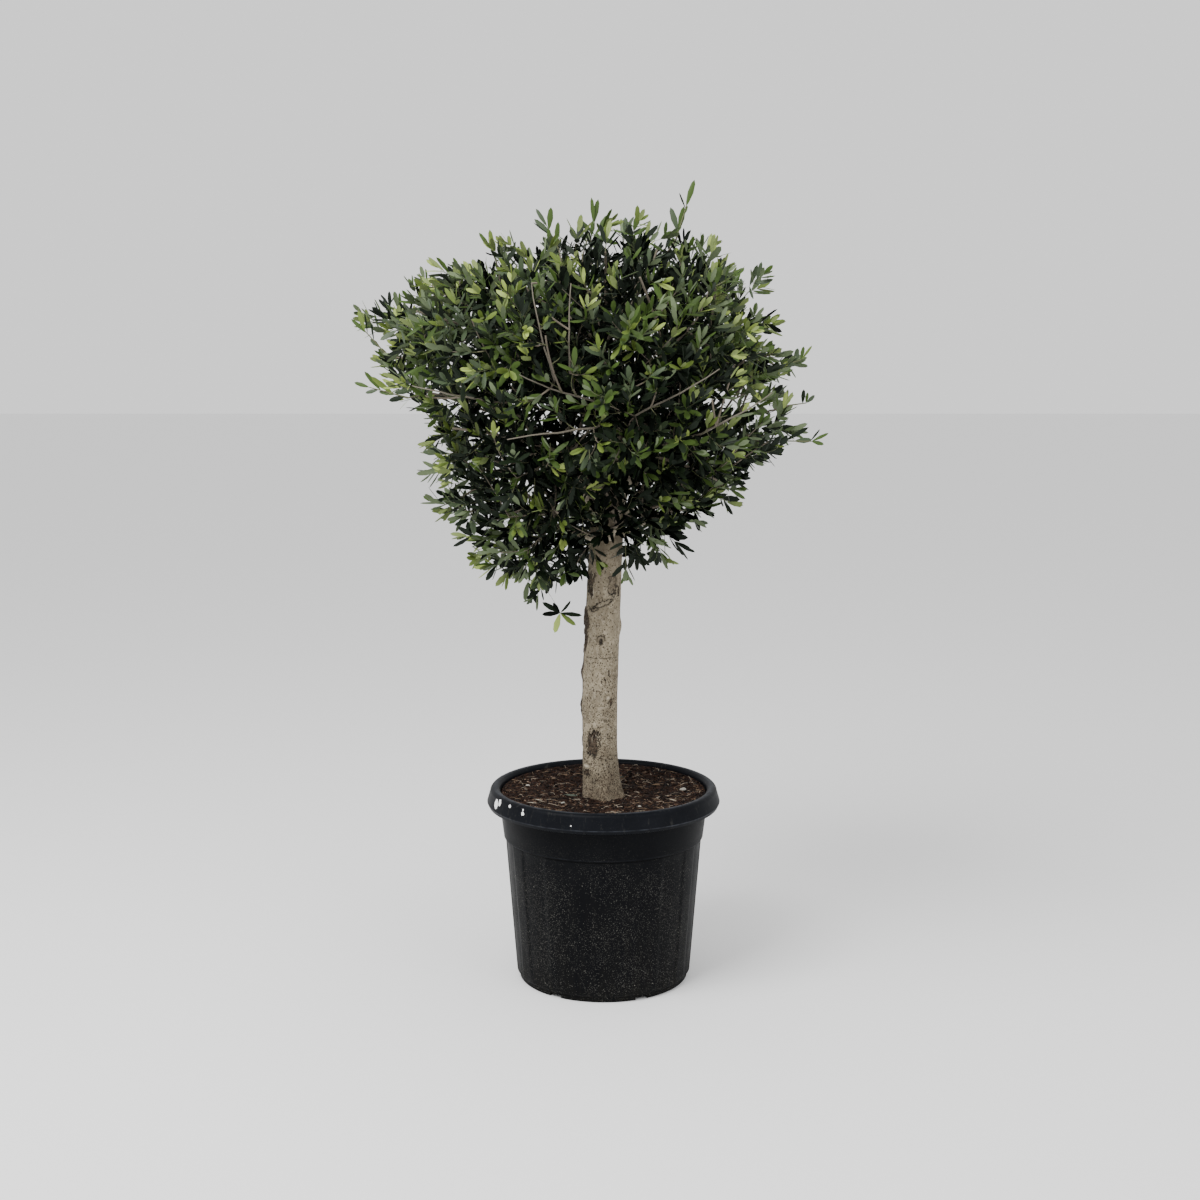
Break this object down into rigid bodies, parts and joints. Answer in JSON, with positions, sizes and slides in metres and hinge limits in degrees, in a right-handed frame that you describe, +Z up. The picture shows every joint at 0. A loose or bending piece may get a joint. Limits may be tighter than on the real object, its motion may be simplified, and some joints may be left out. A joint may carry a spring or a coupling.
{
  "type": "potted olive tree",
  "caption": "Young olive tree with a straight bare trunk and a loose, rounded crown of narrow grey-green leaves, growing in a round black nursery pot.",
  "frame": {"origin": "middle of the pot's flat underside, where it stands on the ground", "axes": "+Z up along the trunk, -Y towards the front and +X to the right seen from the front"},
  "size_m": [0.9663, 0.8443, 1.692],
  "materials": {
    "pot": "matt black moulded plastic, dusty low down",
    "soil": "damp peat and shredded bark",
    "bark": "pale grey-beige bark, fine cracks and knots",
    "foliage": "leathery leaves, green above and silvery below"
  },
  "bodies": {
    "root": {"pot": "pot", "soil": "soil", "trunk": "bark", "bough_low_1": "bark", "bough_low_2": "bark", "bough_low_3": "bark", "bough_low_4": "bark", "bough_low_5": "bark", "bough_middle_1": "bark", "bough_middle_2": "bark", "bough_middle_3": "bark", "bough_middle_4": "bark", "bough_middle_5": "bark", "bough_middle_6": "bark", "bough_high_1": "bark", "bough_high_2": "bark", "bough_high_3": "bark", "bough_high_4": "bark", "bough_high_5": "bark", "bough_top": "bark", "foliage_low_1": "foliage", "foliage_low_2": "foliage", "foliage_low_3": "foliage", "foliage_low_4": "foliage", "foliage_low_5": "foliage", "foliage_middle_1": "foliage", "foliage_middle_2": "foliage", "foliage_middle_3": "foliage", "foliage_middle_4": "foliage", "foliage_middle_5": "foliage", "foliage_middle_6": "foliage", "foliage_high_1": "foliage", "foliage_high_2": "foliage", "foliage_high_3": "foliage", "foliage_high_4": "foliage", "foliage_high_5": "foliage", "foliage_top": "foliage"}
  },
  "joints": []
}
